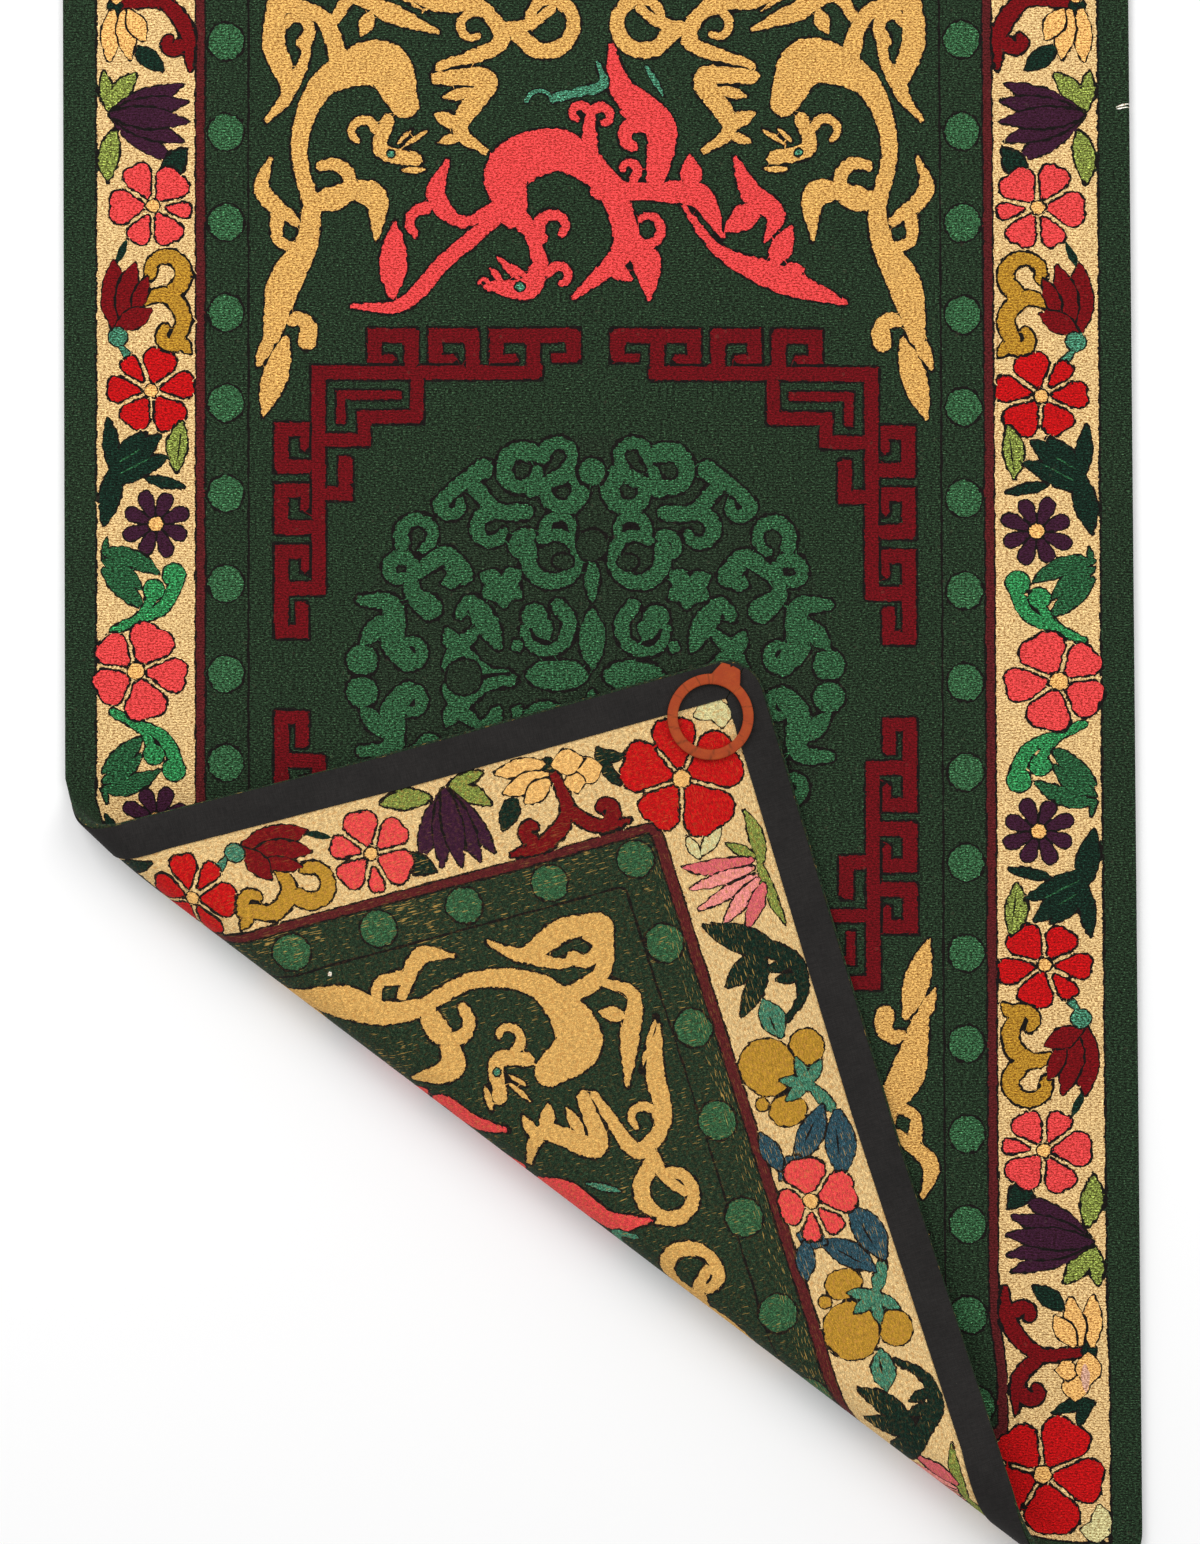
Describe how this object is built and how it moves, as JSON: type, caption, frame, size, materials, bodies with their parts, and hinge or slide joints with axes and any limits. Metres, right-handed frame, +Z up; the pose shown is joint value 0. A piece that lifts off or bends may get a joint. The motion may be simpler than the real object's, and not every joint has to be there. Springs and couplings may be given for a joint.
{
  "type": "hooked rug",
  "caption": "Hooked wool rug lying flat with one corner turned back, showing its taped back and a hanging ring at the corner.",
  "frame": {"origin": "middle of the outline seen from above, at the underside of the binding tape", "axes": "+Y along the rug's length, towards the end that lies flat; +X across its width, away from the turned-back corner; +Z up"},
  "size_m": [0.9296, 1.5261, 0.0628],
  "materials": {
    "wool": "hooked wool loops, matte, with a cream flower border",
    "tape": "charcoal cotton twill tape, matte",
    "ring": "terracotta brown, satin, with darker cross lines"
  },
  "bodies": {
    "root": {"rug": "wool", "tape_bottom": "tape", "tape_right": "tape", "tape_top": "tape", "tape_left": "tape", "ring": "ring"}
  },
  "joints": []
}
